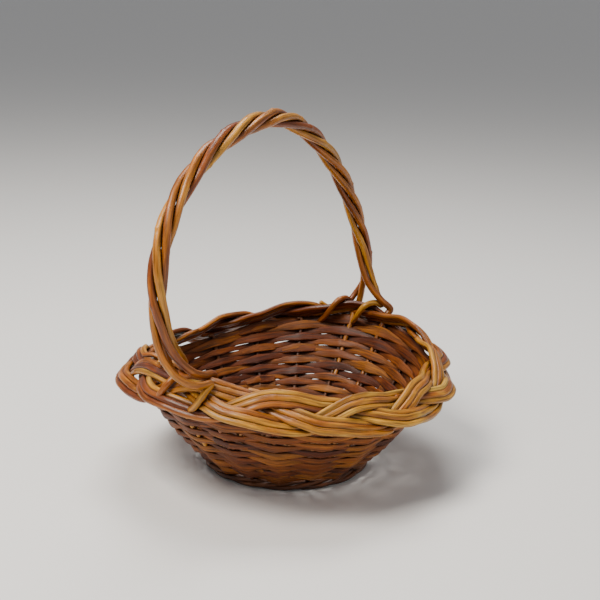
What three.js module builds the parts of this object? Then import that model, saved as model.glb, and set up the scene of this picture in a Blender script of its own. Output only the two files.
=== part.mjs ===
// Round willow market basket with a twisted hoop handle, built rod by rod.
// Millimetres, +Z up. Origin: under the middle of the overall length and width, on the ground.
// +Y runs along the handle, +X across it.
import * as THREE from 'three';

// ---- Driving dimensions ----
const STAKES = 18;                 // upright rods round the side
const STAKE_RADIUS = 3.5;
const BASE_STICKS_LONG = 5;        // base sticks laid along X
const BASE_STICKS_CROSS = 4;       // base sticks laid along Y
const STICK_RADIUS = 3.2;
const STICK_PITCH = 7.4;           // spacing where the sticks lie side by side
const STICKS_CROSS_TO = 18;        // half size of the patch where the two sets lie across each other
const STICKS_FAN_FROM = 46;        // from here out the sticks point straight away from the middle
const BASE_LEVEL = 13.2;           // middle of the woven base
const BASE_RADIUS = 100;           // where the base sticks end
const BASE_ROUNDS = [52, 67, 82, 96.5];
const BASE_WEAVER_RADIUS = 3;
const FOOT_RADIUS = 115;           // ring that the basket stands on
const FOOT_ROD = 4.6;

const WALL_FOOT = { radius: 117, z: 16 };
const RIM_ACROSS = 216;            // half width of the border, measured to its middle
const RIM_ALONG = 232;             // half length of the border along the handle
const RIM_HEIGHT = 152;
const RIM_WAVE = 14;               // the rim rises by this at the handle and dips by it between
const BELLY = 7;                   // the side bows outwards by this halfway up
const ROWS = 16;
const WEAVER = { thick: 2.3, high: 3.6 };   // half sizes of a split weaver
const FIRST_ROW = 9;               // up the slope of the wall
const LAST_ROW_BELOW_BORDER = 20;
const ROW_PLAY = 0.6;              // between a weaver and the stakes that it passes
const BUTT_GAP = 0.4;              // half the gap between the two ends of one round

const BORDER_ROD = 4.4;
const BORDER_TURNS = 4;            // full side-to-side swings of each strand
const BORDER_PHASE = 0.35;         // where round the rim the swings begin
const BORDER_SWING = 20.8;
const BORDER_DWELL = 1.25;         // above 1 a strand runs along the border's edges for a while
const BORDER_LIFT = 7.2;
const PAIR_OFFSET = 4.65;
const BORDER_LEAN = Math.PI / 4;   // the border leans outwards
const BORDER_STEPS = 60;

const HANDLE_ROD = 5.3;
const HANDLE_TOP = 504;
const HANDLE_SPAN = 229;           // half span where the hoop meets the border
const HANDLE_FOOT = 168;
const ROPE_RADIUS = 8;             // from the hoop's line to the middle of each rod
const ROPE_PITCH = 250;
const ROPE_START = 118;            // length of the open legs at each end
const ROUNDNESS = 1.17;            // above 1 the hoop is pointed, below 1 it is square
const LEAN_ALONG = -33;            // the hoop's crown leans towards -Y
const LEAN_ACROSS = -16;
const BULGE = { back: 26, front: 85 };      // how far each leg bows outwards
const BRIDGE_STEPS = 6;
const HOOK_TIP = 4;                // radius at a leg's thin end
const LEGS_AT = [22, 35];          // from the handle's middle line, the two legs of each pair
const LEG_PLAY = 6;                // between a straight leg and the inner edge of the border
const STRAIGHT_LEG_DEPTHS = [0.75, 0.6, 0.42];   // fractions of the wall that a straight leg passes
const HOOK = { swing: 38, lift: 23, steps: 12, step: 0.155 * Math.PI, start: 0.58 * Math.PI, walk: 28 };
const GAP = 1;                     // play between rods that pass each other

const TAU = 2 * Math.PI;
const UP = new THREE.Vector3(0, 0, 1);

// ---- Materials ----
const willow = (color, roughness) => new THREE.MeshStandardMaterial({ color, roughness, metalness: 0 });
const HONEY = willow(0xc58a3c, 0.42);
const BARK = willow(0x9a5a26, 0.5);
const SPLIT = willow(0xa8682c, 0.5);
const PALE = willow(0xb98448, 0.6);

// ---- Rods ----
// A rod's path: its points, the way its flat side faces at each one, and how thick it is there.
// With one facing direction, that direction is carried along without twisting.
class RodPath extends THREE.Curve {
  constructor(points, facing, sizes) {
    super();
    this.points = points;
    this.facing = facing;
    this.sizes = sizes;
  }

  getSpacedPoints() {
    return this.points;
  }

  tangentAt(i) {
    const last = this.points.length - 1;
    const before = this.points[Math.max(i - 1, 0)];
    const after = this.points[Math.min(i + 1, last)];
    return after.clone().sub(before).normalize();
  }

  computeFrenetFrames() {
    const frames = { tangents: [], normals: [], binormals: [] };
    let carried = this.facing[0].clone();
    this.points.forEach((_, i) => {
      const tangent = this.tangentAt(i);
      if (this.facing.length > 1) carried = this.facing[i].clone();
      carried.addScaledVector(tangent, -carried.dot(tangent)).normalize();
      const size = this.sizes ? this.sizes[i] : 1;
      frames.tangents.push(tangent);
      frames.normals.push(carried.clone().multiplyScalar(size));
      frames.binormals.push(tangent.clone().cross(carried).multiplyScalar(size));
    });
    return frames;
  }
}

function roundSection(radius, sides) {
  const corner = (i) => new THREE.Vector2(radius, 0).rotateAround(new THREE.Vector2(), (i * TAU) / sides);
  return new THREE.Shape(Array.from({ length: sides }, (_, i) => corner(i)));
}

function flatSection(thick, high) {
  const corners = [[-thick, -high], [thick, -high], [thick, high], [-thick, high]];
  return new THREE.Shape(corners.map(([x, y]) => new THREE.Vector2(x, y)));
}

function rod(name, material, section, points, facing, sizes) {
  const extrudePath = new RodPath(points, facing, sizes);
  const geometry = new THREE.ExtrudeGeometry(section, { steps: points.length - 1, extrudePath });
  const mesh = new THREE.Mesh(geometry, material);
  mesh.name = name;
  return mesh;
}

// ---- Side wall: an oval cone that widens and waves towards the rim ----
const wave = (angle) => -RIM_WAVE * Math.cos(2 * angle);

function ringPoint(across, along, z, angle) {
  return new THREE.Vector3(across * Math.cos(angle), along * Math.sin(angle), z);
}

function ringOutward(across, along, angle) {
  return new THREE.Vector3(Math.cos(angle) / across, Math.sin(angle) / along, 0).normalize();
}

// A place on the border, swung down its slope and lifted off its face.
function borderPoint(angle, swing, lift) {
  const outward = ringOutward(RIM_ACROSS, RIM_ALONG, angle);
  const slope = outward.clone().multiplyScalar(Math.sin(BORDER_LEAN)).addScaledVector(UP, -Math.cos(BORDER_LEAN));
  const face = outward.clone().multiplyScalar(Math.cos(BORDER_LEAN)).addScaledVector(UP, Math.sin(BORDER_LEAN));
  const middle = ringPoint(RIM_ACROSS, RIM_ALONG, RIM_HEIGHT + wave(angle), angle);
  return middle.addScaledVector(slope, swing).addScaledVector(face, lift);
}

function borderFace(angle) {
  return borderPoint(angle, 0, 1).sub(borderPoint(angle, 0, 0));
}

const BORDER_UNDERSIDE = -(BORDER_LIFT + BORDER_ROD + GAP);

// The wall in one upright plane: its foot, its top under the border, and the directions along and off it.
function wallLine(angle) {
  const foot = ringPoint(WALL_FOOT.radius, WALL_FOOT.radius, WALL_FOOT.z, angle);
  const top = borderPoint(angle, 0, BORDER_UNDERSIDE);
  const along = top.clone().sub(foot);
  const length = along.length();
  along.normalize();
  const outward = ringOutward(RIM_ACROSS, RIM_ALONG, angle);
  const off = outward.addScaledVector(along, -outward.dot(along)).normalize();
  return { foot, along, off, length };
}

// fraction 0 is the foot of the wall and 1 its top; the side bellies outwards a little on the way.
function wallPoint(angle, fraction, offset) {
  const line = wallLine(angle);
  const belly = BELLY * Math.sin(Math.PI * fraction);
  return line.foot.addScaledVector(line.along, fraction * line.length).addScaledVector(line.off, belly + offset);
}

const stakeAngle = (k) => (k * TAU) / STAKES;

// ---- Base ----
function baseStick(name, index, count, turned) {
  const place = index - (count - 1) / 2;
  const fan = place * stakeAngle(1);
  const level = (STICK_RADIUS + 0.3) * (turned ? 1 : -1);
  const half = [
    new THREE.Vector3(STICKS_CROSS_TO, place * STICK_PITCH, BASE_LEVEL + level),
    ringPoint(STICKS_FAN_FROM, STICKS_FAN_FROM, BASE_LEVEL, fan),
    ringPoint(BASE_RADIUS, BASE_RADIUS, BASE_LEVEL, fan),
  ];
  const mirrored = half.map((p) => new THREE.Vector3(-p.x, p.y, p.z)).reverse();
  const points = [...mirrored, ...half];
  const mesh = rod(name, PALE, roundSection(STICK_RADIUS, 6), points, [UP]);
  if (turned) mesh.rotation.z = Math.PI / 2;
  return mesh;
}

// The angles that a weaver passes through: two at each stake, and its two ends butted over stake first.
function weavingStops(first, halfWidth, radius) {
  const near = halfWidth / radius;
  const butt = BUTT_GAP / radius;
  const stops = [{ stake: first, angle: stakeAngle(first) + butt }, { stake: first, angle: stakeAngle(first) + near }];
  for (let k = first + 1; k < first + STAKES; k += 1) {
    stops.push({ stake: k, angle: stakeAngle(k) - near }, { stake: k, angle: stakeAngle(k) + near });
  }
  const last = first + STAKES;
  stops.push({ stake: last, angle: stakeAngle(last) - near }, { stake: last, angle: stakeAngle(last) - butt });
  return stops;
}

function baseRound(name, radius, round) {
  const lift = STICK_RADIUS + BASE_WEAVER_RADIUS + 0.5;
  const stops = weavingStops(5 * round, STICK_RADIUS + 1, radius);
  const points = stops.map(({ stake, angle }) => {
    const side = (stake + round) % 2 ? 1 : -1;
    return ringPoint(radius, radius, BASE_LEVEL + side * lift, angle);
  });
  return rod(name, PALE, roundSection(BASE_WEAVER_RADIUS, 5), points, [UP]);
}

function footRing() {
  const steps = 36;
  const butt = BUTT_GAP / FOOT_RADIUS;
  const angles = Array.from({ length: steps + 1 }, (_, i) => butt + (i * (TAU - 2 * butt)) / steps);
  const level = FOOT_ROD * Math.cos(Math.PI / 6);   // the hexagon rests on one of its flats
  const points = angles.map((angle) => ringPoint(FOOT_RADIUS, FOOT_RADIUS, level, angle));
  const facing = angles.map((angle) => ringOutward(1, 1, angle));
  return rod('foot_ring', BARK, roundSection(FOOT_ROD, 6), points, facing);
}

// ---- Side ----
function sideStake(k) {
  const angle = stakeAngle(k);
  const inner = ringPoint(BASE_RADIUS + GAP, BASE_RADIUS + GAP, BASE_LEVEL, angle);
  const bend = ringPoint(WALL_FOOT.radius - 6, WALL_FOOT.radius - 6, BASE_LEVEL, angle);
  const climb = [0.03, 0.25, 0.45, 0.65, 0.83, 1].map((fraction) => wallPoint(angle, fraction, 0));
  const name = `side_stake_${String(k + 1).padStart(2, '0')}`;
  return rod(name, BARK, roundSection(STAKE_RADIUS, 5), [inner, bend, ...climb], [wallLine(angle).off]);
}

function weaverRow(row) {
  const offset = STAKE_RADIUS + WEAVER.thick + ROW_PLAY;
  const meanRadius = THREE.MathUtils.lerp(WALL_FOOT.radius, RIM_ACROSS, row / ROWS);
  const stops = weavingStops(7 * row, STAKE_RADIUS + 1.5, meanRadius);
  const points = [];
  const facing = [];
  stops.forEach(({ stake, angle }) => {
    const line = wallLine(angle);
    const climb = (line.length - FIRST_ROW - LAST_ROW_BELOW_BORDER) / (ROWS - 1);
    const fraction = (FIRST_ROW + row * climb) / line.length;
    const side = (stake + row) % 2 ? 1 : -1;
    points.push(wallPoint(angle, fraction, side * offset));
    facing.push(line.off);
  });
  const name = `weaver_row_${String(row + 1).padStart(2, '0')}`;
  return rod(name, SPLIT, flatSection(WEAVER.thick, WEAVER.high), points, facing);
}

// ---- Border: three strands of two rods each, plaited flat ----
function strandMiddle(strand, angle) {
  const phase = BORDER_TURNS * angle - BORDER_PHASE + (strand * TAU) / 3;
  const lift = THREE.MathUtils.clamp(1.2 * Math.sin(2 * phase), -1, 1);
  const swing = THREE.MathUtils.clamp(BORDER_DWELL * Math.sin(phase), -1, 1);
  return borderPoint(angle, BORDER_SWING * swing, BORDER_LIFT * lift);
}

function borderRod(strand, side) {
  const butt = BUTT_GAP / RIM_ACROSS;
  const points = [];
  const facing = [];
  for (let i = 0; i <= BORDER_STEPS; i += 1) {
    const angle = butt + (i * (TAU - 2 * butt)) / BORDER_STEPS;
    const tangent = strandMiddle(strand, angle + 0.02).sub(strandMiddle(strand, angle - 0.02)).normalize();
    const face = borderFace(angle);
    const sideways = face.clone().cross(tangent).normalize();
    points.push(strandMiddle(strand, angle).addScaledVector(sideways, side * PAIR_OFFSET));
    facing.push(face);
  }
  const name = `border_strand_${strand + 1}_${side > 0 ? 'upper' : 'lower'}_rod`;
  return rod(name, HONEY, roundSection(BORDER_ROD, 5), points, facing);
}

// ---- Handle: a hoop of four rods twisted into a rope, open at both ends ----
function hoopPoint(t) {
  const c = Math.cos(Math.PI * t);
  const s = Math.sin(Math.PI * t);
  const bulge = c > 0 ? BULGE.back : -BULGE.front;
  const y = HANDLE_SPAN * Math.sign(c) * Math.abs(c) ** ROUNDNESS + LEAN_ALONG * s + bulge * Math.abs(2 * s * c);
  return new THREE.Vector3(LEAN_ACROSS * s, y, HANDLE_FOOT + (HANDLE_TOP - HANDLE_FOOT) * s ** ROUNDNESS);
}

const hoop = new THREE.CatmullRomCurve3(Array.from({ length: 41 }, (_, i) => hoopPoint(i / 40)));
const hoopLength = hoop.getLength();
const ropeLength = hoopLength - 2 * ROPE_START;
const quarterTurns = Math.round((4 * ropeLength) / ROPE_PITCH);

// The hoop's cross-section at a distance along it: across the handle, and away from the hoop's inside.
function hoopFrame(distance) {
  const point = hoop.getPointAt(distance / hoopLength);
  const tangent = hoop.getTangentAt(distance / hoopLength);
  const across = new THREE.Vector3(1, 0, 0).addScaledVector(tangent, -tangent.x).normalize();
  const outward = tangent.clone().cross(across);
  return { point, tangent, across, outward };
}

function aroundHoop(distance, radius, turn) {
  const { point, across, outward } = hoopFrame(distance);
  return point.addScaledVector(across, radius * Math.cos(turn)).addScaledVector(outward, radius * Math.sin(turn));
}

function ropeTurn(quarter, distance) {
  return Math.PI / 4 + (quarter - (quarterTurns * (distance - ROPE_START)) / ropeLength) * (Math.PI / 2);
}

// Angle round the rim of a leg that stands at this distance across the handle's middle line.
const rimAngle = (end, x) => end * Math.acos(x / RIM_ACROSS);

// A leg that runs down inside the border and lies against the inside of the weave.
function straightLeg(end, x) {
  const angle = rimAngle(end, x);
  const inside = -(STAKE_RADIUS + 2 * WEAVER.thick + ROW_PLAY + HANDLE_ROD + GAP);
  const corner = BORDER_SWING + PAIR_OFFSET + BORDER_ROD + HANDLE_ROD + LEG_PLAY;
  return [
    borderPoint(angle, -corner, 0),
    borderPoint(angle, 5 - corner, -13),
    wallPoint(angle, 0.9, inside - 2),
    ...STRAIGHT_LEG_DEPTHS.map((fraction) => wallPoint(angle, fraction, inside)),
  ];
}

// A leg whose thin end is wound once round the border, through the gap above the top row: inside first at the
// back, outside first at the front. It walks along the border as it goes, the same way round the basket at both.
function hookLeg(end, x) {
  const points = [];
  for (let i = 0; i <= HOOK.steps; i += 1) {
    const turn = HOOK.start + end * HOOK.step * i;
    const angle = rimAngle(end, x) + (HOOK.walk * i) / (HOOK.steps * RIM_ALONG);
    points.push(borderPoint(angle, HOOK.swing * Math.cos(turn), HOOK.lift * Math.sin(turn)));
  }
  return points;
}

// Which way a rod goes where the rope opens, by the quarter of the rope that it has reached. The hooked leg of
// each pair is the one that can walk away from the other.
function legFor(end, quarter) {
  const place = ((quarter % 4) + 4) % 4;
  const side = place === 0 || place === 3 ? 1 : -1;
  const hooked = place < 2;
  const walksInwards = side === end;
  const x = side * LEGS_AT[hooked === walksInwards ? 0 : 1];
  return hooked ? hookLeg(end, x) : straightLeg(end, x);
}

// The free stretch of a rod between the closed rope and its leg: it goes on turning as it leaves the others.
function bridge(end, turn, leg) {
  const frame = hoopFrame(end > 0 ? 0 : hoopLength);
  const reach = leg[0].clone().sub(frame.point);
  const away = new THREE.Vector2(reach.dot(frame.across), reach.dot(frame.outward));
  const quarterOn = (end * Math.PI) / 2;
  const extra = Math.atan2(away.y, away.x) - turn - quarterOn;
  const swing = quarterOn + extra - TAU * Math.round(extra / TAU);
  const points = [];
  for (let i = 1; i <= BRIDGE_STEPS; i += 1) {
    const t = i / (BRIDGE_STEPS + 1);
    const distance = ROPE_START * (1 - t);
    const radius = THREE.MathUtils.lerp(ROPE_RADIUS, away.length(), t * t);
    const point = aroundHoop(end > 0 ? distance : hoopLength - distance, radius, turn + swing * t);
    points.push(point.addScaledVector(frame.tangent, reach.dot(frame.tangent) * t));
  }
  return points;
}

function handleRod(quarter) {
  const steps = Math.round(ropeLength / 20);
  const rope = [];
  for (let i = 0; i <= steps; i += 1) {
    const distance = ROPE_START + (i * ropeLength) / steps;
    rope.push(aroundHoop(distance, ROPE_RADIUS, ropeTurn(quarter, distance)));
  }
  // Each rod keeps turning the way that the rope is laid as it leaves for its leg.
  const backLeg = legFor(1, quarter + 1);
  const frontLeg = legFor(-1, quarter - quarterTurns - 1);
  const backBridge = bridge(1, ropeTurn(quarter, ROPE_START), backLeg);
  const frontBridge = bridge(-1, ropeTurn(quarter, hoopLength - ROPE_START), frontLeg);
  const points = [...backLeg.reverse(), ...backBridge.reverse(), ...rope, ...frontBridge, ...frontLeg];
  const thin = HOOK_TIP / HANDLE_ROD;
  const isHook = (leg) => leg.length === HOOK.steps + 1;
  const sizes = points.map((_, i) => {
    const back = isHook(backLeg) ? (i - backLeg.length) / BRIDGE_STEPS : 1;
    const front = isHook(frontLeg) ? (points.length - 1 - i - frontLeg.length) / BRIDGE_STEPS : 1;
    return THREE.MathUtils.lerp(thin, 1, THREE.MathUtils.clamp(Math.min(back, front), 0, 1));
  });
  return rod(`handle_rod_${quarter + 1}`, HONEY, roundSection(HANDLE_ROD, 6), points, [UP], sizes);
}

// ---- Assembly ----
const basket = new THREE.Group();
for (let i = 0; i < BASE_STICKS_LONG; i += 1) {
  basket.add(baseStick(`base_stick_long_${i + 1}`, i, BASE_STICKS_LONG, false));
}
for (let i = 0; i < BASE_STICKS_CROSS; i += 1) {
  basket.add(baseStick(`base_stick_cross_${i + 1}`, i, BASE_STICKS_CROSS, true));
}
BASE_ROUNDS.forEach((radius, round) => basket.add(baseRound(`base_weaver_${round + 1}`, radius, round)));
basket.add(footRing());
for (let k = 0; k < STAKES; k += 1) basket.add(sideStake(k));
for (let row = 0; row < ROWS; row += 1) basket.add(weaverRow(row));
for (let strand = 0; strand < 3; strand += 1) {
  basket.add(borderRod(strand, 1));
  basket.add(borderRod(strand, -1));
}
for (let quarter = 0; quarter < 4; quarter += 1) basket.add(handleRod(quarter));

// The crown leans and one leg bows out, so the middle of the whole is not the middle of the base.
const middle = new THREE.Box3().setFromObject(basket).getCenter(new THREE.Vector3());
basket.position.set(-middle.x, -middle.y, 0);

export default basket;
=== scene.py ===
"""A woven willow market basket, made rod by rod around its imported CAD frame.

Metres, +Z up, +Y along the handle. Every CAD node is replaced by rods of willow on the same lines, with
tapers, knots, trimmed ends and split faces, and each piece takes one of five willow finishes.
"""
import math

import bpy
import numpy as np
from mathutils import Euler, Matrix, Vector


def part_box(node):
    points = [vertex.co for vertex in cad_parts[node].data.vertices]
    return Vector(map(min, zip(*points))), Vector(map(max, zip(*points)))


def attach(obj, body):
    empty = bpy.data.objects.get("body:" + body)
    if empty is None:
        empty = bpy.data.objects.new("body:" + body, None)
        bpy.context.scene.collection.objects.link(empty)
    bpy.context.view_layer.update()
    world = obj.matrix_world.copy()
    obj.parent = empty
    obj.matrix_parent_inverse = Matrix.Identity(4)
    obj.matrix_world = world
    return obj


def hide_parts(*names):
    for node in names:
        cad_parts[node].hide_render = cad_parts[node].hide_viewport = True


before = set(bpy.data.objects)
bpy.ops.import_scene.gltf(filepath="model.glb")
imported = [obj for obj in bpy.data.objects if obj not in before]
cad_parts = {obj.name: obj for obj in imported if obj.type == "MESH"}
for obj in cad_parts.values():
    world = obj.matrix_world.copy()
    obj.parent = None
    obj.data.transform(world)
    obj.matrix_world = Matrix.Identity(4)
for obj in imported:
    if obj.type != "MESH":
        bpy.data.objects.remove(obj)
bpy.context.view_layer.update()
rng = np.random.default_rng(18)

MM = 0.001
TAU = 2 * math.pi

# ---- Driving dimensions, the same as the frame's ----
STAKES = 18
STAKE_RADIUS = 3.5 * MM
STICK_RADIUS = 3.2 * MM
STICK_PITCH = 7.4 * MM
STICKS_CROSS_TO = 18 * MM
STICKS_FAN_FROM = 46 * MM
BASE_LEVEL = 13.2 * MM
BASE_RADIUS = 100 * MM
FOOT_RADIUS = 115 * MM
WALL_RADIUS, WALL_LEVEL = 117 * MM, 16 * MM
RIM_ACROSS, RIM_ALONG = 216 * MM, 232 * MM
RIM_HEIGHT, RIM_WAVE = 152 * MM, 14 * MM
BELLY = 7 * MM
ROWS = 16
WEAVER_THICK = 2.3 * MM
FIRST_ROW, LAST_ROW_BELOW_BORDER = 9 * MM, 20 * MM
BORDER_ROD = 4.4 * MM
BORDER_TURNS = 4
BORDER_DWELL = 1.25
BORDER_PHASE = 0.35
BORDER_SWING, BORDER_LIFT = 20.8 * MM, 7.2 * MM
PAIR_OFFSET = 4.65 * MM
BORDER_LEAN = math.radians(45)
HANDLE_ROD = 5.3 * MM
HANDLE_SPAN, HANDLE_FOOT, HANDLE_TOP = 229 * MM, 168 * MM, 504 * MM
ROPE_RADIUS, ROPE_PITCH, ROPE_START = 8 * MM, 250 * MM, 118 * MM
ROUNDNESS = 1.17
LEAN_ALONG, LEAN_ACROSS = -33 * MM, -16 * MM
BULGE_BACK, BULGE_FRONT = 26 * MM, 85 * MM
BRIDGE_STEPS = 6
LEGS_AT = (22 * MM, 35 * MM)
HOOK_STEPS, HOOK_STEP, HOOK_START = 12, 0.155 * math.pi, 0.58 * math.pi
GAP = 1 * MM

# ---- Dimensions of the finer things that only this model shows ----
BASE_ROD, BASE_PITCH = 2.15 * MM, 4.65 * MM
BASE_TIES, TIE_REACH = 3, 24 * MM
WALE_ROD, WALE_TURNS, WALE_STRANDS = 3.5 * MM, 5, 3
WEAVER_SPAN = 6                    # stakes that one weaver passes before the next one takes over
WEAVER_TAIL = 0.42                 # how far past its last stake a weaver's end goes, in stakes
WEAVE_SWING = 4.3 * MM
ROUNDS_OVER_TOP = 2                # rounds packed in under the plait, held by the top piece
FIRST_ROW_DROP, FIRST_ROW_FAT = 2.5 * MM, 1.35     # the first round sits down on the foot
PLAIT_SWING, PLAIT_LIFT = 0.84 * BORDER_SWING, 0.8 * BORDER_LIFT
PLAIT_ROD_THICK, PLAIT_ROD_WIDE = 3.9 * MM, 4.7 * MM
PLAIT_LANE = 8.1 * MM              # from one rod of a strand to the next
PLAIT_LAP = 0.05                   # how far a rod goes on past its join, as an angle round the rim
MIDDLE_ROD_RISE = 1.4 * MM
HOOK_TIP, LEG_TIP = 4.1 * MM, 3.9 * MM
HOOK_SWING, HOOK_LIFT = 27 * MM, 16.5 * MM
HOOK_WALK, HOOK_IN = 115 * MM, 9 * MM

# The base ring's middle is the middle that every angle is measured round.
foot_low, foot_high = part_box("foot_ring")
CENTRE = np.array([(foot_low.x + foot_high.x) / 2, (foot_low.y + foot_high.y) / 2, 0])
UP = np.array([0.0, 0.0, 1.0])


# ---- Small vector helpers: every argument may hold many points ----
def unit(v):
    return v / np.linalg.norm(v, axis=-1, keepdims=True)


def along_axis(direction, amount):
    """direction scaled by each amount, as rows."""
    return direction * np.asarray(amount)[..., None]


def wander(count, waves, size):
    """A smooth random wave of this length, with about this many swings."""
    t = np.linspace(0, 1, count)
    total = np.zeros(count)
    for octave in range(3):
        total += np.sin(TAU * (waves * (octave + 0.6) * t + rng.random())) / (octave + 1)
    return total * size / 1.5


def soft_clip(x):
    """x kept between -1 and 1, with no corner where it stops."""
    return x / (1 + x**6) ** (1 / 6)


def smooth_line(points, step):
    """Even points on a curve through the given ones, with the place of each as a share of the given ones."""
    points = np.asarray(points)
    padded = np.vstack([2 * points[0] - points[1], points, 2 * points[-1] - points[-2]])
    parts, places = [], []
    fine = 14
    for i in range(len(points) - 1):
        a, b, c, d = padded[i:i + 4]
        t = np.linspace(0, 1, fine, endpoint=False)[:, None]
        parts.append(0.5 * (2 * b + (c - a) * t + (2 * a - 5 * b + 4 * c - d) * t**2
                            + (3 * b - a - 3 * c + d) * t**3))
        places.append(i + t[:, 0])
    line = np.vstack([*parts, points[-1:]])
    place = np.append(np.concatenate(places), len(points) - 1)
    reach = np.append(0, np.cumsum(np.linalg.norm(np.diff(line, axis=0), axis=1)))
    count = max(4, int(reach[-1] / step))
    even = np.linspace(0, reach[-1], count)
    evenly = np.stack([np.interp(even, reach, line[:, k]) for k in range(3)], axis=1)
    return evenly, np.interp(even, reach, place)


# ---- The basket's surfaces ----
def ring_point(across, along, z, angle):
    angle = np.asarray(angle, float)
    z = np.broadcast_to(z, angle.shape)
    return CENTRE + np.stack([across * np.cos(angle), along * np.sin(angle), z], axis=-1)


def ring_outward(angle):
    angle = np.asarray(angle, float)
    flat = np.stack([np.cos(angle) / RIM_ACROSS, np.sin(angle) / RIM_ALONG, np.zeros_like(angle)], axis=-1)
    return unit(flat)


def border_face(angle):
    return ring_outward(angle) * math.cos(BORDER_LEAN) + UP * math.sin(BORDER_LEAN)


def border_point(angle, swing, lift):
    """A place on the border, swung down its slope and lifted off its face."""
    angle = np.asarray(angle, float)
    slope = ring_outward(angle) * math.sin(BORDER_LEAN) - UP * math.cos(BORDER_LEAN)
    middle = ring_point(RIM_ACROSS, RIM_ALONG, RIM_HEIGHT - RIM_WAVE * np.cos(2 * angle), angle)
    return middle + along_axis(slope, swing) + along_axis(border_face(angle), lift)


BORDER_UNDERSIDE = -(BORDER_LIFT + BORDER_ROD + GAP)


def wall_line(angle):
    foot = ring_point(WALL_RADIUS, WALL_RADIUS, WALL_LEVEL, angle)
    top = border_point(angle, 0.0, BORDER_UNDERSIDE)
    length = np.linalg.norm(top - foot, axis=-1)
    along = unit(top - foot)
    outward = ring_outward(angle)
    off = unit(outward - along_axis(along, (outward * along).sum(-1)))
    return foot, along, off, length


def wall_point(angle, fraction, offset):
    foot, along, off, length = wall_line(angle)
    belly = BELLY * np.sin(math.pi * np.asarray(fraction))
    return foot + along_axis(along, fraction * length) + along_axis(off, belly + offset)


def stake_angle(k):
    return k * TAU / STAKES


# ---- Rods ----
def round_section(sides, squareness=1.0):
    turn = np.arange(sides) * TAU / sides
    shape = lambda v: np.sign(v) * np.abs(v) ** squareness
    return np.stack([shape(np.cos(turn)), shape(np.sin(turn))], axis=1)


def split_section(sides):
    """Half a rod: its bark is round on the outside, and the split face nearly flat on the inside."""
    turn = np.arange(sides) * TAU / sides
    c, s = np.cos(turn), np.sin(turn)
    x = np.where(c > 0, c, -0.8 * np.abs(c) ** 0.35)
    return np.stack([x, s], axis=1)


ROUND = round_section(14)
BROAD = round_section(16, 0.82)
THIN = round_section(10)
SPLIT = split_section(14)


def carried_frames(points, tangents, first):
    """A facing direction carried along the rod without twisting."""
    facing = np.empty_like(points)
    carried = np.asarray(first, float)
    for i, tangent in enumerate(tangents):
        carried = carried - tangent * (carried @ tangent)
        carried = carried / np.linalg.norm(carried)
        facing[i] = carried
    return facing


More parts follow.
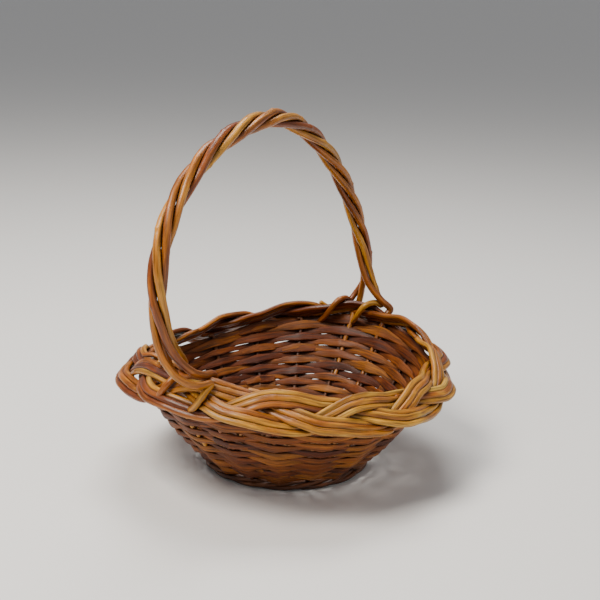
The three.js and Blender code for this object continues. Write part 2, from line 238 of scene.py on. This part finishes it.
class Bundle:
    """The rods of one piece, gathered into one mesh of closed bodies."""

    def __init__(self):
        self.verts, self.faces, self.cut_faces = [], [], []
        self.grain, self.tone = [], []
        self.count = 0

    def rod(self, points, thick, high, section=ROUND, facing=None, tone=None, knots=0.0):
        """One rod: half sizes across its facing direction (high) and along it (thick)."""
        points = np.asarray(points, float)
        n, k = len(points), len(section)
        tangents = unit(np.gradient(points, axis=0))
        if facing is None:
            facing = UP if abs(tangents[0][2]) < 0.9 else np.array([1.0, 0, 0])
        facing = np.asarray(facing, float)
        if facing.ndim == 1:
            facing = carried_frames(points, tangents, facing)
        facing = unit(facing - along_axis(tangents, (facing * tangents).sum(-1)))
        sideways = np.cross(tangents, facing)
        thick = np.broadcast_to(thick, n).copy()
        high = np.broadcast_to(high, n).copy()
        reach = np.append(0, np.cumsum(np.linalg.norm(np.diff(points, axis=0), axis=1)))
        swell = np.ones((n, k))
        turn = np.arctan2(section[:, 1], section[:, 0])
        if knots:
            place = reach[0] + knots * (0.3 + 0.6 * rng.random())
            while place < reach[-1]:
                around = rng.random() * TAU
                near = np.exp(-(((reach - place) / (3.2 * MM)) ** 2))
                facing_it = np.exp(-((np.angle(np.exp(1j * (turn - around))) / 0.7) ** 2))
                swell += 0.16 * near[:, None] * (0.25 + facing_it[None, :])
                place += knots * (0.6 + 0.8 * rng.random())
        x = section[:, 0][None, :] * thick[:, None] * swell
        y = section[:, 1][None, :] * high[:, None] * swell
        trim = 0.35 * np.minimum(thick[[0, -1]], high[[0, -1]])
        inset = 0.8
        x = np.vstack([x[:1] * inset, x, x[-1:] * inset])
        y = np.vstack([y[:1] * inset, y, y[-1:] * inset])
        before, after = points[:1] - tangents[:1] * trim[0], points[-1:] + tangents[-1:] * trim[1]
        spine = np.vstack([before, points, after])
        f = np.vstack([facing[:1], facing, facing[-1:]])
        b = np.vstack([sideways[:1], sideways, sideways[-1:]])
        rings = spine[:, None, :] + x[..., None] * f[:, None, :] + y[..., None] * b[:, None, :]
        run = np.concatenate([[-trim[0]], reach, [reach[-1] + trim[1]]]) + rng.random() * 7
        grain = np.stack([x, y, np.repeat(run[:, None], k, axis=1)], axis=-1)
        ends = np.vstack([spine[:1], spine[-1:]])
        end_grain = np.array([[0, 0, run[0]], [0, 0, run[-1]]])
        base = self.count
        self.verts.append(np.vstack([rings.reshape(-1, 3), ends]))
        self.grain.append(np.vstack([grain.reshape(-1, 3), end_grain]))
        tone = rng.random() if tone is None else tone
        total = (n + 2) * k + 2
        self.tone.append(np.full(total, tone))
        ring = base + np.arange(n + 1)[:, None] * k
        j = np.arange(k)[None, :]
        nxt = (np.arange(k)[None, :] + 1) % k
        quads = np.stack([ring + j, ring + nxt, ring + k + nxt, ring + k + j], axis=-1)
        self.faces.append(quads.reshape(-1, 4))
        first, last = base + total - 2, base + total - 1
        top = base + (n + 1) * k
        j, nxt = j[0], nxt[0]
        self.cut_faces.append(np.stack([np.full(k, first), base + nxt, base + j], axis=1))
        self.cut_faces.append(np.stack([np.full(k, last), top + j, top + nxt], axis=1))
        self.count += total

    def make(self, name, slot, *nodes):
        """The mesh object, riding on the frame in place of these nodes."""
        verts = np.vstack(self.verts)
        quads = np.vstack(self.faces)
        tris = np.vstack(self.cut_faces)
        mesh = bpy.data.meshes.new(name)
        mesh.vertices.add(len(verts))
        mesh.vertices.foreach_set("co", verts.astype(np.float32).ravel())
        corners = np.concatenate([quads.ravel(), tris.ravel()])
        mesh.loops.add(len(corners))
        mesh.loops.foreach_set("vertex_index", corners.astype(np.int32))
        starts = np.concatenate([np.arange(len(quads)) * 4, len(quads) * 4 + np.arange(len(tris)) * 3])
        mesh.polygons.add(len(starts))
        mesh.polygons.foreach_set("loop_start", starts.astype(np.int32))
        is_cut = np.arange(len(starts)) >= len(quads)
        mesh.polygons.foreach_set("material_index", is_cut.astype(np.int32))
        mesh.update(calc_edges=True)
        mesh.polygons.foreach_set("use_smooth", ~is_cut)
        grain = mesh.attributes.new("grain", "FLOAT_VECTOR", "POINT")
        grain.data.foreach_set("vector", np.vstack(self.grain).astype(np.float32).ravel())
        tone = mesh.attributes.new("tone", "FLOAT", "POINT")
        tone.data.foreach_set("value", np.concatenate(self.tone).astype(np.float32))
        mesh.validate()
        mesh.materials.append(finishes[slot])
        mesh.materials.append(cut_finish)
        piece = bpy.data.objects.new(name, mesh)
        bpy.context.scene.collection.objects.link(piece)
        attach(piece, "root")
        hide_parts(*nodes)
        return piece


# ---- Materials ----
class Nodes:
    """Adds nodes to one material and joins them."""

    def __init__(self, name):
        self.material = bpy.data.materials.new(name)
        self.material.use_nodes = True
        self.tree = self.material.node_tree
        self.shader = self.tree.nodes["Principled BSDF"]

    def add(self, kind, inputs=None, **settings):
        node = self.tree.nodes.new(kind)
        for key, value in settings.items():
            setattr(node, key, value)
        for key, value in (inputs or {}).items():
            if isinstance(value, bpy.types.NodeSocket):
                self.tree.links.new(value, node.inputs[key])
            else:
                node.inputs[key].default_value = value
        return node

    def stretched(self, vector, scale):
        return self.add("ShaderNodeVectorMath", {0: vector, 1: scale}, operation="MULTIPLY").outputs[0]

    def noise(self, vector, detail=4.0, roughness=0.6, distortion=0.0):
        inputs = {"Vector": vector, "Scale": 1.0, "Detail": detail, "Roughness": roughness,
                  "Distortion": distortion}
        return self.add("ShaderNodeTexNoise", inputs).outputs["Fac"]

    def maths(self, operation, a, b=0.0, clamp=False):
        return self.add("ShaderNodeMath", {0: a, 1: b}, operation=operation, use_clamp=clamp).outputs[0]

    def span(self, value, low, high, to_low, to_high):
        inputs = {"Value": value, "From Min": low, "From Max": high, "To Min": to_low, "To Max": to_high}
        return self.add("ShaderNodeMapRange", inputs).outputs[0]

    def ramp(self, value, stops):
        node = self.add("ShaderNodeValToRGB", {"Fac": value})
        elements = node.color_ramp.elements
        while len(elements) < len(stops):
            elements.new(0.5)
        for element, (place, colour) in zip(elements, stops):
            element.position = place
            element.color = (*colour, 1)
        return node.outputs["Color"]

    def mix(self, blend, amount, a, b):
        node = self.add("ShaderNodeMix", data_type="RGBA", blend_type=blend)
        for key, value in ((0, amount), (6, a), (7, b)):
            if isinstance(value, bpy.types.NodeSocket):
                self.tree.links.new(value, node.inputs[key])
            else:
                node.inputs[key].default_value = value if key == 0 else (*value, 1)
        return node.outputs[2]

    def attribute(self, name):
        return self.add("ShaderNodeAttribute", attribute_name=name)


def willow(name, palette, streak=0.5, gloss=0.42, coat=0.3, relief=0.35):
    """Varnished willow. palette runs from the darkest rods to the palest; grain runs along each rod."""
    m = Nodes(name)
    grain = m.attribute("grain").outputs["Vector"]
    tone = m.attribute("tone").outputs["Fac"]
    patches = m.noise(m.stretched(grain, (60, 60, 14)), 3.0, 0.6, 0.6)
    fibres = m.noise(m.stretched(grain, (900, 900, 26)), 5.0, 0.65, 0.3)
    bands = m.noise(m.stretched(grain, (330, 330, 18)), 4.0, 0.6, 0.4)
    flecks = m.noise(m.stretched(grain, (1500, 1500, 240)), 2.0, 0.5)
    lights = m.maths("ADD", m.maths("MULTIPLY", tone, 0.7), m.maths("MULTIPLY", patches, 1.1))
    shade = m.span(lights, 0.35, 1.35, 0.0, 1.0)
    places = np.linspace(0.02, 0.98, len(palette))
    colour = m.ramp(shade, list(zip(places, palette)))
    streaks = m.maths("ADD", m.maths("MULTIPLY", fibres, 0.4), m.maths("MULTIPLY", bands, 0.6))
    dark_streaks = m.span(streaks, 0.40, 0.60, 1.0 - streak, 1.2)
    colour = m.mix("MULTIPLY", 1.0, colour, m.add("ShaderNodeCombineColor", {
        "Red": dark_streaks, "Green": m.maths("MULTIPLY", dark_streaks, 0.98),
        "Blue": m.maths("MULTIPLY", dark_streaks, 0.9)}).outputs[0])
    spots = m.span(flecks, 0.66, 0.74, 0.0, 0.45)
    colour = m.mix("MIX", spots, colour, tuple(0.35 * c for c in palette[0]))
    # Painted shade: ambient occlusion within 9 mm darkens the colour in crevices and between rods, and makes
    # it redder there.
    corner = m.add("ShaderNodeAmbientOcclusion", {"Distance": 9 * MM}, samples=4).outputs["AO"]
    crevice_shade = m.span(corner, 0.25, 0.9, 0.16, 1.0)
    colour = m.mix("MULTIPLY", 1.0, colour, m.add("ShaderNodeCombineColor", {
        "Red": crevice_shade, "Green": m.maths("POWER", crevice_shade, 1.25),
        "Blue": m.maths("POWER", crevice_shade, 1.5)}).outputs[0])
    m.tree.links.new(colour, m.shader.inputs["Base Color"])
    rough = m.span(m.maths("ADD", fibres, patches), 0.7, 1.3, gloss - 0.1, gloss + 0.16)
    m.tree.links.new(rough, m.shader.inputs["Roughness"])
    height = m.maths("ADD", m.maths("ADD", fibres, bands), m.maths("MULTIPLY", flecks, 0.4))
    bump = m.add("ShaderNodeBump", {"Strength": relief, "Distance": 1.2 * MM, "Height": height})
    m.tree.links.new(bump.outputs[0], m.shader.inputs["Normal"])
    m.shader.inputs["Coat Weight"].default_value = coat
    m.shader.inputs["Coat Roughness"].default_value = 0.22
    m.shader.inputs["Specular IOR Level"].default_value = 0.3
    return m.material


def cut_wood():
    """The trimmed ends: pale wood with rings and a dark pith."""
    m = Nodes("cut_willow")
    grain = m.attribute("grain").outputs["Vector"]
    across = m.stretched(grain, (1, 1, 0))
    radius = m.add("ShaderNodeVectorMath", {0: across}, operation="LENGTH").outputs["Value"]
    rough_edge = m.noise(m.stretched(grain, (700, 700, 0)), 3.0)
    waves = m.maths("ADD", m.maths("MULTIPLY", radius, 5200.0), m.maths("MULTIPLY", rough_edge, 5.0))
    rings = m.maths("SINE", waves)
    wood = m.ramp(m.span(rings, -1.0, 1.0, 0.2, 0.9), [(0.0, (0.25, 0.12, 0.045)), (1.0, (0.52, 0.33, 0.16))])
    pith = m.span(radius, 0.5 * MM, 1.1 * MM, 1.0, 0.0)
    colour = m.mix("MIX", pith, wood, (0.09, 0.035, 0.012))
    m.tree.links.new(colour, m.shader.inputs["Base Color"])
    m.tree.links.new(m.span(rough_edge, 0.3, 0.7, 0.6, 0.85), m.shader.inputs["Roughness"])
    bump = m.add("ShaderNodeBump", {"Strength": 0.5, "Distance": 0.4 * MM, "Height": rough_edge})
    m.tree.links.new(bump.outputs[0], m.shader.inputs["Normal"])
    return m.material


finishes = {
    "handle_willow": willow("handle_willow", [
        (0.10, 0.016, 0.002), (0.25, 0.056, 0.003), (0.42, 0.140, 0.007), (0.64, 0.31, 0.03)],
        streak=0.6, gloss=0.36, coat=0.35),
    "border_willow": willow("border_willow", [
        (0.08, 0.013, 0.002), (0.20, 0.043, 0.002), (0.36, 0.110, 0.005),
        (0.50, 0.22, 0.014), (0.68, 0.40, 0.06)],
        streak=0.65, gloss=0.4, coat=0.25),
    "weaver_willow": willow("weaver_willow", [
        (0.045, 0.007, 0.001), (0.13, 0.025, 0.002), (0.24, 0.062, 0.003), (0.36, 0.120, 0.008)],
        streak=0.7, gloss=0.52, coat=0.05, relief=0.6),
    "stake_willow": willow("stake_willow", [
        (0.04, 0.011, 0.004), (0.12, 0.035, 0.009), (0.22, 0.075, 0.018)], streak=0.5, coat=0.1),
    "base_willow": willow("base_willow", [
        (0.10, 0.035, 0.012), (0.24, 0.10, 0.03), (0.38, 0.19, 0.07)], streak=0.4, coat=0.15, gloss=0.5),
}
cut_finish = cut_wood()


# ---- Base ----
def stick_line(index, count, turned):
    place = index - (count - 1) / 2
    fan = place * stake_angle(1)
    level = (STICK_RADIUS + 0.3 * MM) * (1 if turned else -1)
    crossing = [(x, place * STICK_PITCH, BASE_LEVEL + level) for x in (-STICKS_CROSS_TO, 0, STICKS_CROSS_TO)]
    reaches = (STICKS_FAN_FROM, (STICKS_FAN_FROM + BASE_RADIUS) / 2, BASE_RADIUS)
    ends = [(r * math.cos(fan), r * math.sin(fan), BASE_LEVEL) for r in reaches]
    starts = [(-x, y, z) for x, y, z in reversed(ends)]
    points = np.array(starts + crossing + ends)
    if turned:
        points = np.stack([-points[:, 1], points[:, 0], points[:, 2]], axis=1)
    return points + CENTRE


def base_sticks():
    for kind, count, turned in (("long", 5, False), ("cross", 4, True)):
        for i in range(count):
            bundle = Bundle()
            line, _ = smooth_line(stick_line(i, count, turned), 2 * MM)
            taper = np.linspace(1.0, 0.86, len(line)) if i % 2 else np.linspace(0.86, 1.0, len(line))
            size = STICK_RADIUS * taper * (1 + wander(len(line), 5, 0.02))
            bundle.rod(line, size, size, ROUND, UP, knots=70 * MM)
            bundle.make(f"spoke_{kind}_{i + 1}", "base_willow", f"base_stick_{kind}_{i + 1}")


def base_rounds():
    """Ties over each whole set of sticks in the middle, then close rounds over and under single sticks."""
    radii = np.arange(STICKS_FAN_FROM - 5 * MM, FOOT_RADIUS - 8 * MM, BASE_PITCH)
    groups = np.array_split(np.arange(len(radii)), 4)
    for group, rounds in enumerate(groups):
        bundle = Bundle()
        if group == 0:
            for tie in range(BASE_TIES):
                angle = np.linspace(0, 0.997 * TAU, 220) + tie
                reach = TIE_REACH + tie * BASE_PITCH
                over = np.clip(1.7 * np.cos(2 * angle), -1, 1)
                lift = over * (2 * STICK_RADIUS + BASE_ROD + 0.4 * MM) * (-1 if tie % 2 else 1)
                bundle.rod(ring_point(reach, reach, BASE_LEVEL + lift, angle), BASE_ROD, BASE_ROD, THIN, UP)
        for i in rounds:
            start = TAU * rng.random()
            angle = np.linspace(start, start + 0.995 * TAU, int(TAU * radii[i] / (2.2 * MM)))
            weave = -np.cos(math.pi * (angle / stake_angle(1) + i))
            lift = np.clip(1.35 * weave, -1, 1) * (STICK_RADIUS + BASE_ROD + 0.35 * MM)
            size = BASE_ROD * (1 + wander(len(angle), 6, 0.06))
            reach = radii[i] + wander(len(angle), 5, 0.25 * MM)
            bundle.rod(ring_point(reach, reach, BASE_LEVEL + lift, angle), size, size, THIN, UP)
        bundle.make(f"base_weaving_{group + 1}", "base_willow", f"base_weaver_{group + 1}")


def foot_wale():
    """Three rods laid round each other like a rope: the round that the basket stands on."""
    bundle = Bundle()
    for strand in range(WALE_STRANDS):
        angle = np.linspace(0.01, TAU - 0.01, 420) + strand * 2.1
        lay = WALE_TURNS * angle + strand * TAU / WALE_STRANDS
        reach = FOOT_RADIUS + WALE_ROD * np.cos(lay)
        level = 2.02 * WALE_ROD + WALE_ROD * np.sin(lay)
        size = WALE_ROD * (1 + wander(len(angle), 7, 0.03))
        tone = 0.35 + 0.3 * rng.random()
        bundle.rod(ring_point(reach, reach, level, angle), size, size, ROUND, UP, tone, knots=90 * MM)
    bundle.make("foot_wale", "stake_willow", "foot_ring")


# ---- Side ----
def side_stakes():
    for k in range(STAKES):
        angle = stake_angle(k)
        inner = BASE_RADIUS + GAP
        points = [ring_point(inner, inner, BASE_LEVEL, angle),
                  ring_point(WALL_RADIUS - 6 * MM, WALL_RADIUS - 6 * MM, BASE_LEVEL, angle)]
        points += [wall_point(angle, fraction, 0.0) for fraction in (0.03, 0.25, 0.45, 0.65, 0.83, 1)]
        points += [border_point(angle + 0.03, -0.5 * MM, BORDER_UNDERSIDE + 2.5 * MM)]
        line, _ = smooth_line(points, 2 * MM)
        size = STAKE_RADIUS * np.linspace(0.95, 0.78, len(line)) * (1 + wander(len(line), 4, 0.03))
        bundle = Bundle()
        bundle.rod(line, size, size, ROUND, wall_line(angle)[2], knots=65 * MM)
        bundle.make(f"stake_{k + 1:02d}", "stake_willow", f"side_stake_{k + 1:02d}")


def weaver_rows():
    """Randing: each weaver goes in front of one stake and behind the next, and its end is lapped."""
    bundle = Bundle()
    for row in range(ROWS + ROUNDS_OVER_TOP):
        k = 7 * row + 1
        last = k + STAKES
        while k < last:
            span = min(WEAVER_SPAN + rng.integers(-2, 3), last - k)
            span = last - k if last - k - span < 4 else span
            place = np.arange(k - WEAVER_TAIL, k + span + WEAVER_TAIL, 0.045)
            angle = place * stake_angle(1)
            weave = -np.arcsin(0.985 * np.cos(math.pi * (place + row))) / 1.4
            line = wall_line(angle)
            climb = (line[3] - FIRST_ROW - LAST_ROW_BELOW_BORDER) / (ROWS - 1)
            drift = wander(len(place), 5, 0.8 * MM)
            tuck = np.clip((place - place[0]) / 0.5, 0, 1) * np.clip((place[-1] - place) / 0.5, 0, 1)
            level = FIRST_ROW + row * climb if row else FIRST_ROW - FIRST_ROW_DROP
            fraction = (level + drift - (1 - tuck) * 1.5 * MM) / line[3]
            points = wall_point(angle, fraction, weave * WEAVE_SWING * (1.25 - 0.25 * tuck))
            fat = rng.uniform(0.9, 1.08) * np.linspace(1.05, 0.88, len(place)) ** rng.choice([-1, 1])
            tilt = 0.16 * wander(len(place), 5, 1.0) + 0.10
            facing = line[2] * np.cos(tilt)[:, None] + line[1] * np.sin(tilt)[:, None]
            high = (0.50 + 0.27 * np.abs(weave)) * climb * fat * (1 + wander(len(place), 9, 0.05))
            high = high if row else FIRST_ROW_FAT * high
            thick = 0.85 * WEAVER_THICK * (1 + wander(len(place), 7, 0.06))
            bundle.rod(points, thick, high, SPLIT, facing, knots=110 * MM)
            k += span
        if row < ROWS - 1 or row == ROWS - 1 + ROUNDS_OVER_TOP:
            number = min(row + 1, ROWS)
            bundle.make(f"weaving_row_{number:02d}", "weaver_willow", f"weaver_row_{number:02d}")
            bundle = Bundle()


# ---- Border ----
def strand_middle(strand, angle):
    phase = BORDER_TURNS * angle - BORDER_PHASE + strand * TAU / 3
    swing = PLAIT_SWING * soft_clip(1.15 * BORDER_DWELL * np.sin(phase))
    return border_point(angle, swing, PLAIT_LIFT * soft_clip(1.35 * np.sin(2 * phase)))


def plait_rod(bundle, strand, lane, start, end):
    """One rod of a strand, thinner and pressed aside where it laps the rods before and after it."""
    angle = np.arange(start - PLAIT_LAP, end + PLAIT_LAP, 0.009)
    tangent = unit(strand_middle(strand, angle + 0.01) - strand_middle(strand, angle - 0.01))
    face = border_face(angle)
    sideways = unit(np.cross(face, tangent))
    from_start = np.clip((angle - angle[0]) / (3 * PLAIT_LAP), 0, 1)
    to_end = np.clip((angle[-1] - angle) / (3 * PLAIT_LAP), 0, 1)
    taper = 0.62 + 0.38 * np.minimum(from_start, to_end) ** 0.7
    aside = lane * PLAIT_LANE + 2.4 * MM * ((1 - from_start) - (1 - to_end))
    aside = aside + wander(len(angle), 5, 0.5 * MM)
    rise = (MIDDLE_ROD_RISE if lane == 0 else 0) + wander(len(angle), 5, 0.5 * MM)
    points = strand_middle(strand, angle) + along_axis(sideways, aside) + along_axis(face, rise)
    # Painted light and shade: rods on the +X side are painted paler and those on the -X side darker, as if
    # lit from +X, on top of a random tone per rod.
    tone = 0.36 + 0.34 * math.cos((start + end) / 2) + 0.35 * (rng.random() - 0.5)
    size = taper * rng.uniform(0.92, 1.06) * (1 + wander(len(angle), 8, 0.03))
    bundle.rod(points, PLAIT_ROD_THICK * size, PLAIT_ROD_WIDE * size, BROAD, face, tone, knots=120 * MM)


def border_rods():
    """Each rod dives under a crossing strand where it ends, and the next one comes up beside its tip."""
    under = [(math.pi * n - math.pi / 4) / BORDER_TURNS for n in range(2 * BORDER_TURNS)]
    for strand in range(3):
        places = [u + (BORDER_PHASE - strand * TAU / 3) / BORDER_TURNS for u in under]
        for word, lanes in (("upper", (1, 0)), ("lower", (-1,))):
            bundle = Bundle()
            for lane in lanes:
                joins = sorted(j % TAU for j in places[(strand + lane) % 3::3])
                for start, end in zip(joins, joins[1:] + [joins[0] + TAU]):
                    plait_rod(bundle, strand, lane, start, end)
            node = f"border_strand_{strand + 1}_{word}_rod"
            bundle.make(f"plait_{strand + 1}_{word}", "border_willow", node)


# ---- Handle ----
def hoop_point(t):
    c, s = np.cos(math.pi * t), np.sin(math.pi * t)
    bulge = np.where(c > 0, BULGE_BACK, -BULGE_FRONT)
    y = HANDLE_SPAN * np.sign(c) * np.abs(c) ** ROUNDNESS + LEAN_ALONG * s + bulge * np.abs(2 * s * c)
    z = HANDLE_FOOT + (HANDLE_TOP - HANDLE_FOOT) * np.abs(s) ** ROUNDNESS
    return CENTRE + np.stack([LEAN_ACROSS * s, y, z], axis=-1)


hoop_places = np.linspace(0, 1, 41)
hoop, _ = smooth_line(hoop_point(hoop_places), 1 * MM)
hoop_reach = np.append(0, np.cumsum(np.linalg.norm(np.diff(hoop, axis=0), axis=1)))
hoop_length = hoop_reach[-1]
hoop_tangents = unit(np.gradient(hoop, axis=0))
rope_length = hoop_length - 2 * ROPE_START
quarter_turns = round(4 * rope_length / ROPE_PITCH)


def hoop_frame(distance):
    at = [np.interp(distance, hoop_reach, hoop[:, k]) for k in range(3)]
    heading = [np.interp(distance, hoop_reach, hoop_tangents[:, k]) for k in range(3)]
    point, tangent = np.stack(at, axis=-1), unit(np.stack(heading, axis=-1))
    across = unit(np.array([1.0, 0, 0]) - along_axis(tangent, tangent[..., 0]))
    return point, tangent, across, np.cross(tangent, across)


def around_hoop(distance, radius, turn):
    point, _, across, outward = hoop_frame(distance)
    return point + along_axis(across, radius * np.cos(turn)) + along_axis(outward, radius * np.sin(turn))


def rope_turn(quarter, distance):
    return math.pi / 4 + (quarter - quarter_turns * (distance - ROPE_START) / rope_length) * math.pi / 2


def rim_angle(end, x):
    return end * np.arccos(x / RIM_ACROSS)


def straight_leg(end, x):
    """A leg that is pushed down beside a stake: its points and its radius at each."""
    angle = rim_angle(end, x)
    stake = round(angle / stake_angle(1)) * stake_angle(1)
    inwards = math.copysign(1, end * x)
    beside = stake + inwards * (STAKE_RADIUS + LEG_TIP + GAP) / RIM_ALONG
    if end > 0:                  # through the plait
        points = [border_point(angle, -9 * MM, 17 * MM), border_point((angle + beside) / 2, -5 * MM, 3 * MM)]
    else:                        # inside the plait
        corner = BORDER_SWING + PAIR_OFFSET + BORDER_ROD + HANDLE_ROD + GAP
        points = [border_point(angle, -corner, 0.0), border_point(angle, 5 * MM - corner, -13 * MM),
                  wall_point(beside, 0.86, -9 * MM)]
    points = np.array(points + [wall_point(beside, fraction, 0.0) for fraction in (0.76, 0.6, 0.42)])
    places = [0, 1, len(points) - 3]
    return points, np.interp(np.arange(len(points)), places, [HANDLE_ROD, HANDLE_ROD, LEG_TIP])


def hook_leg(end, x):
    """A leg whose thin end is wound once round the inner part of the border: its points and radii."""
    i = np.arange(HOOK_STEPS + 1)
    turn = HOOK_START + end * HOOK_STEP * i
    angle = rim_angle(end, x) + end * HOOK_WALK / RIM_ALONG * (i / HOOK_STEPS) ** 1.4
    points = border_point(angle, HOOK_SWING * np.cos(turn) - HOOK_IN, HOOK_LIFT * np.sin(turn))
    return points, np.linspace(1.15, 0.85, len(i)) * HOOK_TIP


def leg_for(end, quarter):
    place = quarter % 4
    side = 1 if place in (0, 3) else -1
    hooked = place < 2
    x = side * LEGS_AT[0 if hooked == (side == end) else 1]
    return hook_leg(end, x) if hooked else straight_leg(end, x)


def bridge(end, turn, leg, leg_radius):
    """The free stretch between the closed rope and a leg: its points and its radius at each."""
    point, tangent, across, outward = hoop_frame(0.0 if end > 0 else hoop_length)
    reach = leg[0] - point
    away = np.array([reach @ across, reach @ outward])
    quarter_on = end * math.pi / 2
    extra = math.atan2(away[1], away[0]) - turn - quarter_on
    swing = quarter_on + extra - TAU * round(extra / TAU)
    t = np.arange(1, BRIDGE_STEPS + 1) / (BRIDGE_STEPS + 1)
    distance = ROPE_START * (1 - t)
    radius = ROPE_RADIUS + (np.linalg.norm(away) - ROPE_RADIUS) * t * t
    points = around_hoop(distance if end > 0 else hoop_length - distance, radius, turn + swing * t)
    return points + np.outer(t, tangent * (reach @ tangent)), HANDLE_ROD + (leg_radius - HANDLE_ROD) * t


def handle_rods():
    for quarter in range(4):
        distance = ROPE_START + np.linspace(0, rope_length, round(rope_length / (8 * MM)))
        rope = around_hoop(distance, ROPE_RADIUS, rope_turn(quarter, distance))
        back_leg, back_radius = leg_for(1, quarter + 1)
        front_leg, front_radius = leg_for(-1, quarter - quarter_turns - 1)
        back, back_taper = bridge(1, rope_turn(quarter, ROPE_START), back_leg, back_radius[0])
        turned = rope_turn(quarter, hoop_length - ROPE_START)
        front, front_taper = bridge(-1, turned, front_leg, front_radius[0])
        points = np.vstack([back_leg[::-1], back[::-1], rope, front, front_leg])
        radius = np.concatenate([back_radius[::-1], back_taper[::-1], np.full(len(rope), HANDLE_ROD),
                                 front_taper, front_radius])
        line, place = smooth_line(points, 1.6 * MM)
        size = np.interp(place, np.arange(len(radius)), radius) * (1 + wander(len(line), 16, 0.03))
        line = line + np.stack([wander(len(line), 22, 0.3 * MM) for _ in range(3)], axis=1)
        bundle = Bundle()
        bundle.rod(line, size, size, ROUND, UP, tone=(0.25, 0.7, 0.45, 0.9)[quarter], knots=95 * MM)
        bundle.make(f"rope_rod_{quarter + 1}", "handle_willow", f"handle_rod_{quarter + 1}")


# ---- Stage: floor, light and camera ----
def plain_material(name, colour, roughness):
    m = Nodes(name)
    m.shader.inputs["Base Color"].default_value = (*colour, 1)
    m.shader.inputs["Roughness"].default_value = roughness
    return m.material


def floor():
    bpy.ops.mesh.primitive_plane_add(size=160, location=(0, 0, 0))
    plane = bpy.context.object
    plane.name = "floor"
    plane.data.materials.append(plain_material("pale_floor", (0.8, 0.79, 0.78), 0.7))


def soft_light(name, place, size, power, colour=(1, 1, 1)):
    """A square softbox that looks at the basket."""
    data = bpy.data.lights.new(name, "AREA")
    data.size = size
    data.energy = power
    data.color = colour
    lamp = bpy.data.objects.new(name, data)
    lamp.location = place
    look = Vector((0, 0, 0.2)) - Vector(place)
    lamp.rotation_euler = look.to_track_quat("-Z", "Y").to_euler()
    bpy.context.scene.collection.objects.link(lamp)


VIEW_TURN = math.radians(33)
VIEW_DOWN = math.radians(15.5)
VIEW_ROLL = math.radians(1.55)
VIEW_BACK, VIEW_ASIDE, VIEW_HEIGHT = 1.704, 0.015, 0.716
VIEW_LENS = 74.2


def camera():
    right = np.array([math.cos(VIEW_TURN), math.sin(VIEW_TURN), 0])
    away = np.array([-math.sin(VIEW_TURN), math.cos(VIEW_TURN), 0])
    data = bpy.data.cameras.new("camera")
    data.sensor_width = 36
    data.lens = VIEW_LENS
    eye = bpy.data.objects.new("camera", data)
    eye.location = CENTRE + right * VIEW_ASIDE - away * VIEW_BACK + UP * VIEW_HEIGHT
    turned = Euler((math.pi / 2 - VIEW_DOWN, 0, VIEW_TURN)).to_matrix() @ Euler((0, 0, VIEW_ROLL)).to_matrix()
    eye.rotation_euler = turned.to_euler()
    bpy.context.scene.collection.objects.link(eye)
    bpy.context.scene.camera = eye
    return right, away


def stage():
    floor()
    right, away = camera()
    soft_light("key", tuple(-right * 1.25 - away * 1.0 + UP * 2.5), 1.1, 108, (1, 0.94, 0.85))
    soft_light("fill", tuple(right * 2.0 - away * 1.2 + UP * 1.2), 1.8, 9, (1, 0.97, 0.93))
    soft_light("top", tuple(away * 0.9 + UP * 2.4), 1.2, 46, (1, 0.97, 0.92))
    world = bpy.data.worlds.new("studio")
    world.use_nodes = True
    backdrop = world.node_tree.nodes["Background"]
    backdrop.inputs["Color"].default_value = (0.9, 0.91, 0.93, 1)
    backdrop.inputs["Strength"].default_value = 0.34
    bpy.context.scene.world = world


stage()
base_sticks()
base_rounds()
foot_wale()
side_stakes()
weaver_rows()
border_rods()
handle_rods()
